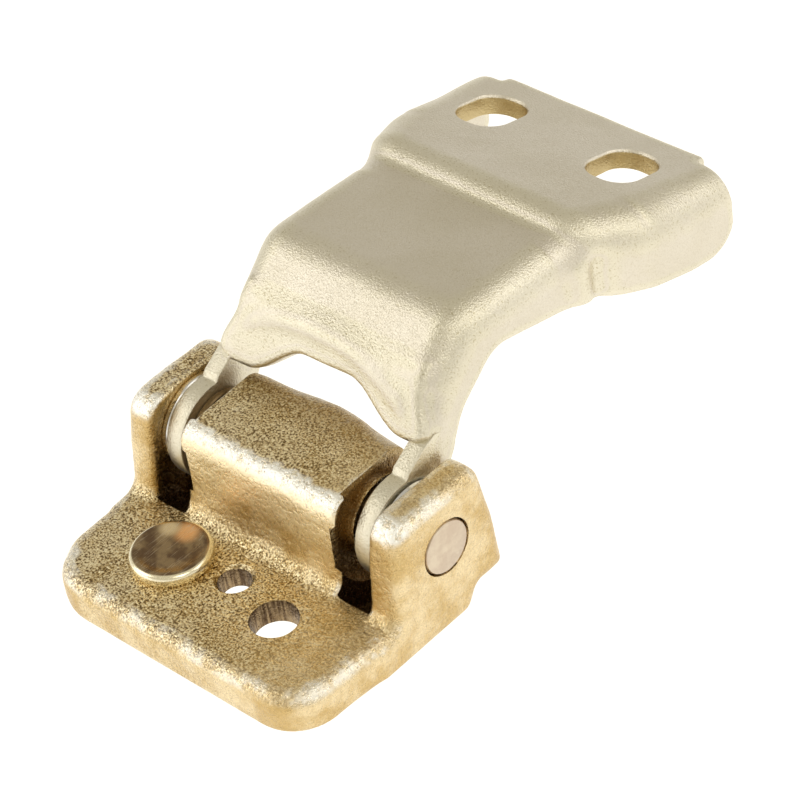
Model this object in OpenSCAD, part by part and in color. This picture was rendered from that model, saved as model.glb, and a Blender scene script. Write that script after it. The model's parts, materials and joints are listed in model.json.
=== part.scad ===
// Door hinge: a forged body bracket, a pressed sheet-steel arm and the pin that joins them.
// X runs along the pin, Y from the bracket's front edge towards the door, Z up from the pillar.
// The origin lies on the bracket's mounting face, straight under the pin's middle.

/* [Pin] */
// Diameter of the hinge pin
pin_d = 10; // [8:0.5:11]
// Height of the pin's axis above the mounting face
pin_z = 16.6; // [15:0.2:19]
// Radial clearance between the pin and the bushes
running_gap = 0.05; // [0.01:0.01:0.1]

/* [Body bracket] */
// Width over both ears, which is also the pin's length
bracket_w = 64; // [60:1:72]
// Distance from the pin's axis to the front edge of the base plate
front_reach = 37; // [34:1:44]
// Depth of the base plate at its rim
plate_t = 8; // [7:0.5:10]
// Depth of the recess under the base plate
recess_depth = 3; // [1:0.5:4]
// Radius of the base plate's front corners in plan
corner_r = 11; // [6:1:14]
// Rounding of the top edges
edge_r = 3; // [1:0.5:4]
// Distance between the inner faces of the ears
ear_span = 49.9; // [49:0.1:52]
// Height of the ears and of the knuckle above the pin's axis
ear_rise = 10; // [9:0.5:12]
// Distance from the pin's axis to the back of the ears
ear_back = 12.6; // [11:0.1:14]
// Width of the knuckle at its foot
knuckle_w = 35.6; // [33:0.1:37]
// Distance from the pin's axis to the front face of the knuckle
knuckle_front = 11.3; // [10:0.1:12.5]
// Distance from the pin's axis to the front end of the two slots beside the knuckle
slot_front = 13; // [12.5:0.1:14]
// Thickness of the web that closes those slots at the bottom
slot_web_t = 2.2; // [1.6:0.2:2.8]

/* [Holes and stud] */
// Diameter of the clearance hole for the pillar bolt
bolt_hole_d = 8.4; // [6.6:0.1:9]
// Diameter of the locating hole
locating_hole_d = 6; // [5:0.1:7]
// Diameter of the stud's flat head
stud_head_d = 14.8; // [12:0.1:16]
// Thickness of the stud's head
stud_head_t = 2.5; // [1.5:0.1:3]

/* [Arm] */
// Thickness of the sheet that the arm is pressed from
sheet_t = 3.7; // [3:0.1:4]
// Radius of the eyes round the pin
eye_r = 9.5; // [9:0.1:10]
// Distance between the outer faces of the two leaves
leaf_span = 47.6; // [47:0.1:48]
// Distance from the pin's axis to the arm's far edge
arm_reach = 82; // [76:1:90]
// Width over the skirts of the mounting flange
flange_w = 60; // [56:1:64]
// Slope of the mounting flange below the horizontal, in degrees
flange_pitch = 14.5; // [8:0.5:18]
// Distance between the centres of the two slotted holes
door_hole_pitch = 29.7; // [27:0.1:32]
// Width of a slotted hole, across the arm
door_hole_w = 10; // [8:0.5:11]
// Length of a slotted hole, along the arm
door_hole_l = 12.7; // [11:0.1:14]

/* [Bushes and washers] */
// Wall of the bush sleeve
bush_wall = 1; // [0.8:0.1:1.5]
// Radius of the bush flange
bush_flange_r = 7.9; // [7:0.1:9.2]
// Thickness of the bush flange
bush_flange_t = 1.3; // [0.8:0.1:1.4]
// Radius of the washers between the leaves and the ears
washer_r = 9; // [8:0.1:9.4]
// Thickness of those washers
washer_t = 1.2; // [0.8:0.1:1.2]

/* [Hidden] */
$fn = 96;
eps = 0.01;

pin_r = pin_d / 2;
half_w = bracket_w / 2;
ear_in = ear_span / 2;
top_z = pin_z + ear_rise;
// Machined faces: a shallow seat in each ear, a ring round each end of the knuckle
seat_depth = 0.45;
seat_r = 10.4;
ring_depth = 1.2;
ring_r = 12;
hub_r = 7.6;
hub_proud = 0.7;
// The rear end of the base's lower face, behind which the ears and knuckle stand clear
pad_back = 4.7;
// Plan positions of the stud and the holes
stud_at = [-11.8, -22.2];
bolt_at = [12.5, -22.7];
locating_at = [0.2, -19.6];
stud_shank_r = 4;
// Chamfer of the locating hole's mouth
chamfer = 0.8;

// The leaves, the bushes' bore and seat, and the bend between the arm's top and its walls
leaf_out = leaf_span / 2;
leaf_in = leaf_out - sheet_t;
bush_r = pin_r + running_gap;
seat_bore_r = bush_r + bush_wall;
bend_r = 5.2;
// The arm seen from the side, as [distance from the pin, height above the pin, corner radius].
// Its outer skin runs from the lip over the brow and the channel's top to the crease, then over
// a ridge on to the mounting flange.
far_z = 22.7;
crease = [45.6, 29];
ridge_y = 49;
ridge_z = far_z + (arm_reach - ridge_y) * tan(flange_pitch);
lip = [5.6, 12.6];
brow = [10.6, 22.3];
crest = [19.5, 30.6];
skin = [[brow[0], brow[1], 5.5], [crest[0], crest[1], 8], [crease[0], crease[1], 1.2],
        [ridge_y - 0.8, ridge_z + 0.2, 4.6]];
// The rim of the side walls, from the far edge back to the eye
rim = [[arm_reach, 18.5, 0], [80.2, 17, 2], [79.6, 7, 6], [68, 10, 8], [56, 13.6, 10], [43, 16.2, 10],
       [24.8, 20.8, 3], [16.1, 13.6, 12], [12.8, 8, 6]];
// Where the front of the neck meets the eye
neck_y = 2.6;
// The flare's widest point, and the square notches that free the skirts' far corners
flare_end_y = 59;
far_notch = 22.3;
skirt_end = 79.8;
// The door holes: their distance from the pin, their corner radius and the flange's height there
hole_y = 69.2;
hole_corner_r = 4.35;
flange_z = far_z + (arm_reach - hole_y) * tan(flange_pitch);

// ---- Outlines ----

// Points of an outline whose corners are rounded: each entry is [x, y, corner radius]
function unit(v) = v / norm(v);
function rounded_corner(a, b, c) =
    let (p = [b[0], b[1]], u = unit([a[0], a[1]] - p), v = unit([c[0], c[1]] - p),
         half = acos(max(-1, min(1, u * v))) / 2, side = u[0] * v[1] - u[1] * v[0])
    b[2] < 0.001 || half > 89.5 ? [p] :
    let (centre = p + unit(u + v) * b[2] / sin(half), back = 90 - half, steps = 1 + ceil(back / 15),
         start = atan2(p[1] - centre[1], p[0] - centre[0]), turn = side > 0 ? 1 : -1)
    [for (i = [0:steps]) let (ang = start + turn * back * (1 - 2 * i / steps))
        centre + b[2] * [cos(ang), sin(ang)]];
function rounded_loop(pts) =
    let (n = len(pts))
    [for (i = [0:n - 1]) each rounded_corner(pts[(i + n - 1) % n], pts[i], pts[(i + 1) % n])];
function rounded_path(pts) =
    let (n = len(pts))
    [for (i = [0:n - 1]) each
        i == 0 || i == n - 1 ? [[pts[i][0], pts[i][1]]] : rounded_corner(pts[i - 1], pts[i], pts[i + 1])];

// A side view outline (Y, Z) made solid between two X positions
module side_slab(x0, x1) {
    translate([x0, 0, 0]) rotate([90, 0, 90]) linear_extrude(x1 - x0) children();
}
// A cylinder along the pin between two X positions
module pin_cylinder(x0, x1, r) {
    translate([x0, 0, pin_z]) rotate([0, 90, 0]) cylinder(h = x1 - x0, r = r);
}
module both_sides() {
    children();
    mirror([1, 0, 0]) children();
}

// ---- Body bracket ----

module base_outline() {
    back = ear_back + 0.6;
    polygon(rounded_loop([[-half_w, -front_reach, corner_r], [half_w, -front_reach, corner_r],
                          [half_w, back, 1], [-half_w, back, 1]]));
}
module ear_outline() {
    polygon(rounded_loop([[-slot_front - 6, 0, 0], [-slot_front - 6, plate_t, 0], [-slot_front, plate_t, 2.5],
                          [-ear_back + 1.8, top_z, 5], [ear_back - 0.9, top_z, 6],
                          [ear_back + 0.5, recess_depth, 1.5], [pad_back + 1, recess_depth, 1],
                          [pad_back, 0, 0.8]]));
}
module knuckle_outline() {
    polygon(rounded_loop([[-slot_front - 4, 0, 0], [-slot_front - 4, plate_t, 0],
                          [-knuckle_front, plate_t, 3.5], [-knuckle_front, top_z - 0.8, 4.6],
                          [8.2, top_z + 0.2, 4], [8.2, recess_depth, 1.5], [pad_back + 1, recess_depth, 1],
                          [pad_back, 0, 0.8]]));
}
// Across the bracket: rounded top edges on the plate and on the ears
module front_outline(top) {
    polygon(rounded_loop([[-half_w, 0, 0.8], [half_w, 0, 0.8],
                          [half_w, top, edge_r], [-half_w, top, edge_r]]));
}
module plate_edge_outline() {
    polygon(rounded_loop([[-front_reach, 0, 0.8], [-front_reach, plate_t, edge_r],
                          [-slot_front + eps, plate_t, 0], [-slot_front + eps, 0, 0]]));
}
module base_plate() {
    intersection() {
        linear_extrude(plate_t) base_outline();
        side_slab(-half_w, half_w) plate_edge_outline();
        rotate([90, 0, 0]) linear_extrude(4 * front_reach, center = true) front_outline(plate_t);
    }
}
module ear() {
    intersection() {
        side_slab(ear_in, half_w) ear_outline();
        rotate([90, 0, 0]) linear_extrude(4 * front_reach, center = true) front_outline(top_z);
    }
}
module knuckle() {
    bulge_r = 60;
    side_slab(-knuckle_w / 2, knuckle_w / 2) knuckle_outline();
    intersection() {
        side_slab(-knuckle_w / 2, knuckle_w / 2)
            polygon(rounded_loop([[0, recess_depth, 0], [0, top_z - 1, 0], [9.9, top_z - 1, 4],
                                  [9.9, recess_depth, 1.5]]));
        translate([0, 9.8 - bulge_r, 0]) cylinder(h = top_z, r = bulge_r, $fn = 240);
    }
}
// The thin floor of the slots between the knuckle and the ears
module slot_web() {
    translate([-ear_in - 1, -slot_front - 1, 0])
        cube([ear_span + 2, slot_front + pad_back + 0.5, slot_web_t]);
}
// A ring machined round each end of the knuckle, which leaves a low hub for the bush to run against
module knuckle_ring() {
    difference() {
        pin_cylinder(knuckle_w / 2 - ring_depth, ear_in - eps, ring_r);
        pin_cylinder(knuckle_w / 2 - ring_depth - 1, knuckle_w / 2 + hub_proud, hub_r);
    }
}
module underside_recess() {
    translate([0, 0, -eps]) linear_extrude(recess_depth + eps)
        polygon(rounded_loop([[-24, -31.5, 7], [24, -31.5, 7], [24, -14.6, 3], [-24, -14.6, 3]]));
}
module body_bracket() {
    color("#a8915c") difference() {
        union() {
            base_plate();
            both_sides() ear();
            knuckle();
            slot_web();
            both_sides() pin_cylinder(knuckle_w / 2 - ring_depth, knuckle_w / 2 + hub_proud, hub_r);
        }
        both_sides() knuckle_ring();
        both_sides() pin_cylinder(ear_in - eps, ear_in + seat_depth, seat_r);
        pin_cylinder(-half_w - 1, half_w + 1, pin_r);
        underside_recess();
        translate([bolt_at[0], bolt_at[1], -1]) cylinder(h = plate_t + 2, d = bolt_hole_d);
        translate([stud_at[0], stud_at[1], -1]) cylinder(h = plate_t + 2, r = stud_shank_r);
        translate([locating_at[0], locating_at[1], -1]) cylinder(h = plate_t + 2, d = locating_hole_d);
        translate([locating_at[0], locating_at[1], plate_t - chamfer])
            cylinder(h = chamfer + eps, d1 = locating_hole_d, d2 = locating_hole_d + 2 * chamfer);
    }
}

// ---- Stud, pin, bushes and washers ----

// A pressed-in stud: a flat head on the plate and a shank that fills its hole to the recess
module locating_stud() {
    head_r = stud_head_d / 2;
    head_top = plate_t + stud_head_t;
    color("#8c8374") translate([stud_at[0], stud_at[1], 0]) rotate_extrude()
        polygon(rounded_path([[0, recess_depth, 0], [stud_shank_r, recess_depth, 0.4],
                              [stud_shank_r, plate_t, 0], [head_r, plate_t, 0.4], [head_r, head_top, 0.9],
                              [head_r - 1.7, head_top, 0.5], [head_r - 2.2, head_top - 0.25, 0.5],
                              [0, head_top - 0.35, 0]]));
}
module hinge_pin() {
    end_chamfer = 0.5;
    color("#cfc3b3") {
        pin_cylinder(-half_w + end_chamfer, half_w - end_chamfer, pin_r);
        both_sides() translate([half_w - end_chamfer, 0, pin_z]) rotate([0, 90, 0])
            cylinder(h = end_chamfer, r1 = pin_r, r2 = pin_r - end_chamfer);
    }
}
// A flanged bush pressed into the right leaf from the knuckle side
module bush() {
    difference() {
        union() {
            pin_cylinder(leaf_in - bush_flange_t, leaf_in, bush_flange_r);
            pin_cylinder(leaf_in - bush_flange_t, leaf_out, seat_bore_r);
        }
        pin_cylinder(leaf_in - bush_flange_t - 1, leaf_out + 1, bush_r);
    }
}
module right_bush() {
    color("#9a6a38") bush();
}
module left_bush() {
    color("#9a6a38") mirror([1, 0, 0]) bush();
}
// A plain washer in the right ear's machined seat
module washer() {
    difference() {
        pin_cylinder(ear_in + seat_depth - washer_t, ear_in + seat_depth, washer_r);
        pin_cylinder(ear_in - washer_t, ear_in + 1, pin_r);
    }
}
module right_washer() {
    color("#c9c6c0") washer();
}
module left_washer() {
    color("#c9c6c0") mirror([1, 0, 0]) washer();
}

// ---- Arm ----

// Pitch of the straight line between two points of the side view
function pitch(a, b) = atan2(b[1] - a[1], b[0] - a[0]);
// A long block under a sloping plane through a point of the side view, its two upper edges
// bent round; inset moves every face inwards
module bent_block(point, slope, half_width, inset) {
    w = half_width - inset;
    translate([0, point[0], point[1]]) rotate([slope, 0, 0]) translate([0, 0, -inset])
        rotate([90, 0, 0]) linear_extrude(200, center = true)
            polygon(rounded_loop([[-w, -80, 0], [w, -80, 0], [w, 0, bend_r - inset],
                                  [-w, 0, bend_r - inset]]));
}
// The same for one side of the flare between the channel and the flange
module flare_block(inset) {
    yaw = atan2(flange_w / 2 - leaf_out, flare_end_y - crease[0]);
    translate([0, ridge_y, ridge_z]) rotate([-flange_pitch, 0, 0])
        translate([leaf_out, crease[0] - ridge_y, 0]) rotate([0, 0, -yaw]) translate([-inset, 0, -inset])
            rotate([90, 0, 0]) linear_extrude(200, center = true)
                polygon(rounded_loop([[-80, -80, 0], [0, -80, 0], [0, 0, bend_r - inset], [-80, 0, 0]]));
}
// Everything inside the outer skin, or inside the inner skin when inset by the sheet's thickness
module skin_envelope(inset) {
    split = crease[0] + 0.22 * inset;
    intersection() {
        translate([-100, -100 + split, -60]) cube([200, 100 + eps, 150]);
        bent_block(crest, pitch(crest, crease), leaf_out, inset);
        bent_block(brow, pitch(brow, crest), leaf_out + eps, inset);
    }
    intersection() {
        translate([-100, split, -60]) cube([200, 100, 150]);
        bent_block([ridge_y, ridge_z], -flange_pitch, flange_w / 2, inset);
        flare_block(inset);
        mirror([1, 0, 0]) flare_block(inset);
    }
}
// Side view of a whole wall, from inside its eye up to the outer skin
module wall_outline() {
    polygon(rounded_loop(concat([[0, 0, 0], [neck_y - 0.6, eye_r - 0.8, 0], [neck_y, eye_r + 0.4, 0.6],
                                 [neck_y + 1.2, 14.2, 1], [7.9, 17, 2]],
                                skin, [[arm_reach, far_z, 0]], rim, [[eye_r - 0.2, 0, 3]])));
}
// Side view of the space under the inner skin
function inner(a, b, c) =
    let (u = unit(b - a), v = unit(c - b), m = unit(u + v))
    b + sheet_t / (u * m) * [m[1], -m[0]];
module channel_outline() {
    end = [arm_reach + 20, far_z - 20 * tan(flange_pitch)];
    ridge = [ridge_y - 0.8, ridge_z + 0.2];
    p1 = inner(lip, brow, crest);
    p2 = inner(brow, crest, crease);
    p3 = inner(crest, crease, ridge);
    p4 = inner(crease, ridge, end);
    start = lip + sheet_t * [sin(pitch(lip, brow)), -cos(pitch(lip, brow))];
    polygon(rounded_loop([[start[0], start[1], 0], [p1[0], p1[1], 5.5 - sheet_t],
                          [p2[0], p2[1], 8 - sheet_t], [p3[0], p3[1], 1.2 + sheet_t], [p4[0], p4[1], 1],
                          [end[0], end[1] - 1.04 * sheet_t, 0], [end[0], -30, 0],
                          [-15, -30, 0], [-15, -6, 0]]));
}
// Side view of the space in front of the lip
module lip_gap_outline() {
    start = lip + sheet_t * [sin(pitch(lip, brow)), -cos(pitch(lip, brow))];
    on_lip = lip + 0.4 * (brow - lip);
    polygon([[-15, -30], [start[0], -30], start, lip, on_lip, [on_lip[0] - 3, on_lip[1] + 4], [-15, 20]]);
}
module door_hole() {
    w = door_hole_w / 2 - hole_corner_r;
    l = door_hole_l / 2 - hole_corner_r;
    translate([door_hole_pitch / 2, hole_y, pin_z + flange_z]) rotate([-flange_pitch, 0, 0])
        linear_extrude(4 * sheet_t, center = true) {
            for (sx = [-1, 1], sy = [-1, 1]) translate([sx * w, sy * l]) circle(r = hole_corner_r);
            square([door_hole_w, 2 * l], center = true);
            square([2 * w, door_hole_l], center = true);
        }
}
// The lip's lower edge is arched over the knuckle
module arch_cut() {
    arch_r = 23;
    arch_top = 17;
    intersection() {
        translate([0, -5, arch_top - arch_r]) rotate([-90, 0, 0]) cylinder(h = 17, r = arch_r, $fn = 180);
        cube([36, 60, 60], center = true);
    }
}
module arm_shell() {
    difference() {
        intersection() {
            side_slab(-flange_w, flange_w) wall_outline();
            skin_envelope(0);
        }
        intersection() {
            side_slab(-flange_w, flange_w) channel_outline();
            skin_envelope(sheet_t);
        }
        side_slab(-leaf_in, leaf_in) lip_gap_outline();
        arch_cut();
    }
}
module hinge_arm() {
    color("#d3c6a6") difference() {
        union() {
            translate([0, 0, pin_z]) arm_shell();
            both_sides() pin_cylinder(leaf_in, leaf_out, eye_r);
        }
        pin_cylinder(-leaf_out - 1, leaf_out + 1, seat_bore_r);
        both_sides() door_hole();
        both_sides() translate([far_notch, skirt_end, 0]) cube([flange_w, 10, 100]);
    }
}

body_bracket();
hinge_arm();
hinge_pin();
left_bush();
right_bush();
left_washer();
right_washer();
locating_stud();
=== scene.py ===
"""The look of a door hinge: a forged body bracket, a pressed arm, their pin, bushes and washers.

Lengths in this file are millimetres until a mesh is made, and heights are counted from the
pin's axis or, in names that end in _Z, from the mounting face. The stage, its lights and the
camera are placed in metres. The larger pieces are sampled distance fields: simple solids joined
and rounded by formula, softened as a forging or a pressing is, then meshed and machined with
cutters.
"""
import json
import math

import bmesh
import bpy
import numpy as np
import openvdb
from mathutils import Matrix, Vector


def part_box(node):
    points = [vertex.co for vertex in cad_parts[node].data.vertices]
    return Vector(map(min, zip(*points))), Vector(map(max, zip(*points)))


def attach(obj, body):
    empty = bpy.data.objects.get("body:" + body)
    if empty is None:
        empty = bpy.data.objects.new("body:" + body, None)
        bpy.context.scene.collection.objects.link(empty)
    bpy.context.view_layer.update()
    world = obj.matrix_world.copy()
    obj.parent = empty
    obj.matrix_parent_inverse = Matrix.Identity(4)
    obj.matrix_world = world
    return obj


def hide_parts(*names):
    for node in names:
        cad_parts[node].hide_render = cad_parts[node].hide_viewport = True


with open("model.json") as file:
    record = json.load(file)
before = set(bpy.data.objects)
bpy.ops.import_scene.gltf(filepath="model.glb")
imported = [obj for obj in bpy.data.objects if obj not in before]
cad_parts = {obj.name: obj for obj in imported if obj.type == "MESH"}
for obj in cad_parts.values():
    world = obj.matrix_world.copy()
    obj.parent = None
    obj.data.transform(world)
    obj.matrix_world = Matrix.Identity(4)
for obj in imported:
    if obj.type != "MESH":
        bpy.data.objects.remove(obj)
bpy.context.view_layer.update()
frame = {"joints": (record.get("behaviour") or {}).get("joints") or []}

MM = 0.001
RNG = np.random.default_rng(7)

# ---- Sizes taken from the frame ----

PIN_Z = frame["joints"][0]["pos_m"][2] / MM
HALF_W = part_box("hinge_pin")[1].x / MM
PIN_R = (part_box("hinge_pin")[1].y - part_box("hinge_pin")[0].y) / 2 / MM
FRONT_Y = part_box("body_bracket")[0].y / MM
EAR_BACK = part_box("body_bracket")[1].y / MM
EAR_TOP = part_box("body_bracket")[1].z / MM - PIN_Z
BOTTOM = -PIN_Z
STUD_LOW, STUD_HIGH = (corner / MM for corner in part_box("locating_stud"))
STUD_R = (STUD_HIGH.x - STUD_LOW.x) / 2
STUD_X = (STUD_HIGH.x + STUD_LOW.x) / 2
STUD_Y = (STUD_HIGH.y + STUD_LOW.y) / 2
ARM_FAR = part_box("hinge_arm")[1].y / MM
FLANGE_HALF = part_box("hinge_arm")[1].x / MM
EYE_R = -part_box("hinge_arm")[0].y / MM
LEAF_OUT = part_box("right_bush")[1].x / MM
BUSH_FLANGE_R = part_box("right_bush")[1].y / MM
WASHER_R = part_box("right_washer")[1].y / MM
WASHER_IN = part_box("right_washer")[0].x / MM
WASHER_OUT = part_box("right_washer")[1].x / MM

# How far a cutter runs past the face that it opens
PAST = 2.0

# ---- Sizes of the forging ----

PLATE_TOP = -8.6
PLATE_TOP_Z = PLATE_TOP + PIN_Z
# The plate has its full width from here back
SHOULDER_Y = -14.6
EAR_IN = 24.95
KNUCKLE_HALF = 17.8
SLOT_FRONT = -13.0
WEB_TOP = BOTTOM + 2.2
RECESS_ROOF = BOTTOM + 3
# A ring is turned round the hub at each end of the knuckle, and a seat into each ear
RING_R = 12.0
RING_IN = 16.6
RING_OUT = EAR_IN - 1.2
HUB_R = 7.6
HUB_END = 18.5
SEAT_R = 10.4
SEAT_IN = EAR_IN - 1.5
# The plain holes: x, y and radius
BOLT = (12.5, -22.7, 4.2)
LOCATOR = (0.2, -19.6, 3.0)
SHANK_R = 4.0

# ---- Sizes of the pressing ----

SHEET = 3.7
LEAF_IN = LEAF_OUT - SHEET
# Corners of the top skin in the side view: y and height
LIP = np.array([5.5, 13.0])
BROW = np.array([10.6, 22.3])
CREST = np.array([19.5, 30.6])
CREASE = np.array([45.6, 29.0])
LIP_DOWN = (LIP - BROW) / np.linalg.norm(LIP - BROW)
RIDGE_Y = 48.4
FLANGE_PITCH = 14.5
FLANGE_END = 22.7
# The walls flare from the leaves' width to the flange's, and end at a height over the leaves
FLARE_START = 42.0
FLARE_LENGTH = 18.0
WALL_LOW = 6.0
NOTCH_X = 22.3
NOTCH_Y = 79.8
SLOT_Y = 69.2
SLOT_X = 14.85
SLOT_HALF_W = 5.0
SLOT_HALF_L = 6.35
SLOT_CORNER = 4.35
# The slot's cutter from below upwards: how far it is widened, and its height over the flange
SLOT_PROFILE = [(0, -9), (0, -0.7), (0.12, -0.3), (0.45, 0.05), (1.2, 0.6)]
BUSH_OUTER_R = PIN_R + 1.05


# ---- Distance fields ----

def arc_corner(before, corner, after):
    """Points of a rounded corner, given as (u, v, radius), about 12 degrees apart."""
    degrees_apart = 12
    p = np.array(corner[:2], float)
    to_before = np.array(before[:2], float) - p
    to_after = np.array(after[:2], float) - p
    to_before /= np.linalg.norm(to_before)
    to_after /= np.linalg.norm(to_after)
    half = math.acos(np.clip(to_before @ to_after, -1, 1)) / 2
    if corner[2] <= 0 or half > math.radians(89.5):
        return [tuple(p)]
    middle = to_before + to_after
    centre = p + middle / np.linalg.norm(middle) * corner[2] / math.sin(half)
    sweep = math.pi / 2 - half
    side = to_before[0] * to_after[1] - to_before[1] * to_after[0]
    start = math.atan2(p[1] - centre[1], p[0] - centre[0])
    turn = 1 if side > 0 else -1
    count = 1 + math.ceil(math.degrees(sweep) * 2 / degrees_apart)
    return [(centre[0] + corner[2] * math.cos(start + turn * sweep * (1 - 2 * i / count)),
             centre[1] + corner[2] * math.sin(start + turn * sweep * (1 - 2 * i / count)))
            for i in range(count + 1)]


def rounded(corners):
    """A closed outline from corners given as (u, v, radius)."""
    count = len(corners)
    points = []
    for i in range(count):
        points += arc_corner(corners[i - 1], corners[i], corners[(i + 1) % count])
    return points


def outline(u, v, points):
    """Signed distance to a closed outline, negative inside."""
    nearest = np.full(np.broadcast(u, v).shape, 1e9, np.float32)
    inside = np.zeros(nearest.shape, bool)
    for (u0, v0), (u1, v1) in zip(points, points[1:] + points[:1]):
        du, dv = u1 - u0, v1 - v0
        if du * du + dv * dv < 1e-9:
            continue
        along = np.clip(((u - u0) * du + (v - v0) * dv) / (du * du + dv * dv), 0, 1)
        nearest = np.minimum(nearest, (u - u0 - along * du) ** 2 + (v - v0 - along * dv) ** 2)
        if dv != 0:
            crosses = ((v0 <= v) != (v1 <= v)) & (u < u0 + (v - v0) * du / dv)
            inside ^= crosses
    return np.where(inside, -1, 1).astype(np.float32) * np.sqrt(nearest)


def both(a, b, r):
    """The space inside both fields, with the edge between them rounded."""
    corner = np.sqrt(np.maximum(r + a, 0) ** 2 + np.maximum(r + b, 0) ** 2)
    return np.minimum(-r, np.maximum(a, b)) + corner


def either(a, b, r):
    """The space inside either field, with a fillet between them."""
    return -both(-a, -b, r)


def ease(t):
    """A smooth step from 0 to 1."""
    t = np.clip(t, 0, 1)
    return t * t * (3 - 2 * t)


def waves(x, y, z, length, count=14):
    """Gentle random waves of about the given length, between about -1 and 1."""
    total = 0
    for _ in range(count):
        way = RNG.normal(size=3)
        way *= 2 * math.pi / (length * RNG.uniform(0.7, 1.5) * np.linalg.norm(way))
        total = total + np.sin(way[0] * x + way[1] * y + way[2] * z + RNG.uniform(0, 2 * math.pi))
    return total / math.sqrt(count)


def soften(field, cells):
    """The field averaged over neighbouring cells, three times over along each axis."""
    for axis in (0, 1, 2):
        for _ in range(3):
            low = np.roll(field, 1, axis)
            high = np.roll(field, -1, axis)
            field = field + cells / 3 * (low + high - 2 * field)
    return field


def sampled(low, high, step):
    """Broadcastable x, y and z of a sampling grid."""
    x, y, z = (np.arange(a, b + step, step, dtype=np.float32) for a, b in zip(low, high))
    return x[:, None, None], y[None, :, None], z[None, None, :]


class Solid:
    """A distance field sampled on a grid, softened, and ready to be meshed and looked up."""

    MARGIN = 1.6
    BAND = 3.0

    def __init__(self, make, low, high, step, blur):
        self.low = np.array(low) - self.MARGIN
        self.step = step
        self.axes = sampled(self.low, np.array(high) + self.MARGIN, step)
        self.values = soften(make(*self.axes).astype(np.float32), blur)

    def mesh(self, name):
        """A piece with the surface where the field is zero."""
        grid = openvdb.FloatGrid(self.BAND)
        grid.copyFromArray(np.clip(self.values, -self.BAND, self.BAND))
        points, quads = grid.convertToQuads(0.0)
        points = points * self.step + self.low + (0, 0, PIN_Z)
        mesh = bpy.data.meshes.new(name)
        mesh.from_pydata((points * MM).tolist(), [], quads.tolist())
        piece = bpy.data.objects.new(name, mesh)
        bpy.context.scene.collection.objects.link(piece)
        return piece

    def near(self, points):
        """Values at the nearest cells."""
        place = np.rint((points - self.low) / self.step).astype(np.int32)
        i, j, k = np.clip(place, 0, np.array(self.values.shape) - 1).T
        return self.values[i, j, k]

    def at(self, points):
        """Values between the cells, by linear interpolation."""
        place = (points - self.low) / self.step
        base = np.clip(np.floor(place).astype(int), 0, np.array(self.values.shape) - 2)
        part = place - base
        total = 0
        for corner in range(8):
            shift = np.array([corner & 1, corner >> 1 & 1, corner >> 2 & 1])
            weight = np.prod(np.where(shift, part, 1 - part), axis=1)
            i, j, k = (base + shift).T
            total = total + weight * self.values[i, j, k]
        return total


def curvature(solid, points):
    """How sharply the surface bends at each point, per millimetre; hollow bends are negative."""
    reach = 1.2
    around = sum(solid.at(points + way) for way in reach * np.vstack((np.eye(3), -np.eye(3))))
    return (around - 6 * solid.at(points)) / reach ** 2


def shading(solid, points, normals):
    """How much of the space over each point the piece itself hides: 0 is none of it, 1 all."""
    ways, steps, reach = 36, 13, 16.0
    free = np.zeros(len(points))
    total = np.zeros(len(points))
    golden = math.pi * (3 - math.sqrt(5))
    for n in range(ways):
        height = 1 - 2 * (n + 0.5) / ways
        ring = math.sqrt(1 - height * height)
        way = np.array([ring * math.cos(golden * n), ring * math.sin(golden * n), height])
        facing = np.maximum(normals @ way, 0)
        open_way = np.ones(len(points), bool)
        for reached in np.linspace(1.0, reach, steps):
            open_way &= solid.near(points + 0.5 * normals + reached * way) > 0
        free += facing * open_way
        total += facing
    return 1 - free / np.maximum(total, 1e-6)


def mark_relief(piece, solid, hollows=None):
    """Gives the piece two vertex attributes that the materials read: 'edge' is the curvature of
    the soft outer shape; 'shade' also counts the hollows, which the solid's field lacks."""
    mesh = piece.data
    points = np.empty(len(mesh.vertices) * 3, np.float32)
    normals = np.empty(len(mesh.vertices) * 3, np.float32)
    mesh.vertices.foreach_get("co", points)
    mesh.vertex_normals.foreach_get("vector", normals)
    points = points.reshape(-1, 3) / MM - (0, 0, PIN_Z)
    normals = normals.reshape(-1, 3)
    edge = curvature(solid, points)
    if hollows is not None:
        solid.values = np.maximum(solid.values, -hollows(*solid.axes))
    shade = shading(solid, points, normals)
    for name, value in (("edge", edge), ("shade", shade)):
        attribute = mesh.attributes.new(name, "FLOAT", "POINT")
        attribute.data.foreach_set("value", value.astype(np.float32))


# ---- Plain meshes, cutters and finishing ----

def mesh_object(name, bm):
    """A piece made of a bmesh, with its faces turned outwards."""
    bmesh.ops.recalc_face_normals(bm, faces=bm.faces)
    mesh = bpy.data.meshes.new(name)
    bm.to_mesh(mesh)
    bm.free()
    piece = bpy.data.objects.new(name, mesh)
    bpy.context.scene.collection.objects.link(piece)
    return piece


def stacked(name, rings, hollow=False):
    """A closed solid through equally long rings of points. Its two ends are capped; a hollow one
    has its last ring joined to its first."""
    bm = bmesh.new()
    loops = [[bm.verts.new(Vector(p) * MM) for p in ring] for ring in rings]
    following = loops[1:] + loops[:1] if hollow else loops[1:]
    for a, b in zip(loops, following):
        for i in range(len(a)):
            j = (i + 1) % len(a)
            bm.faces.new((a[i], a[j], b[j], b[i]))
    if not hollow:
        bm.faces.new(loops[0])
        bm.faces.new(loops[-1])
    return mesh_object(name, bm)


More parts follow.
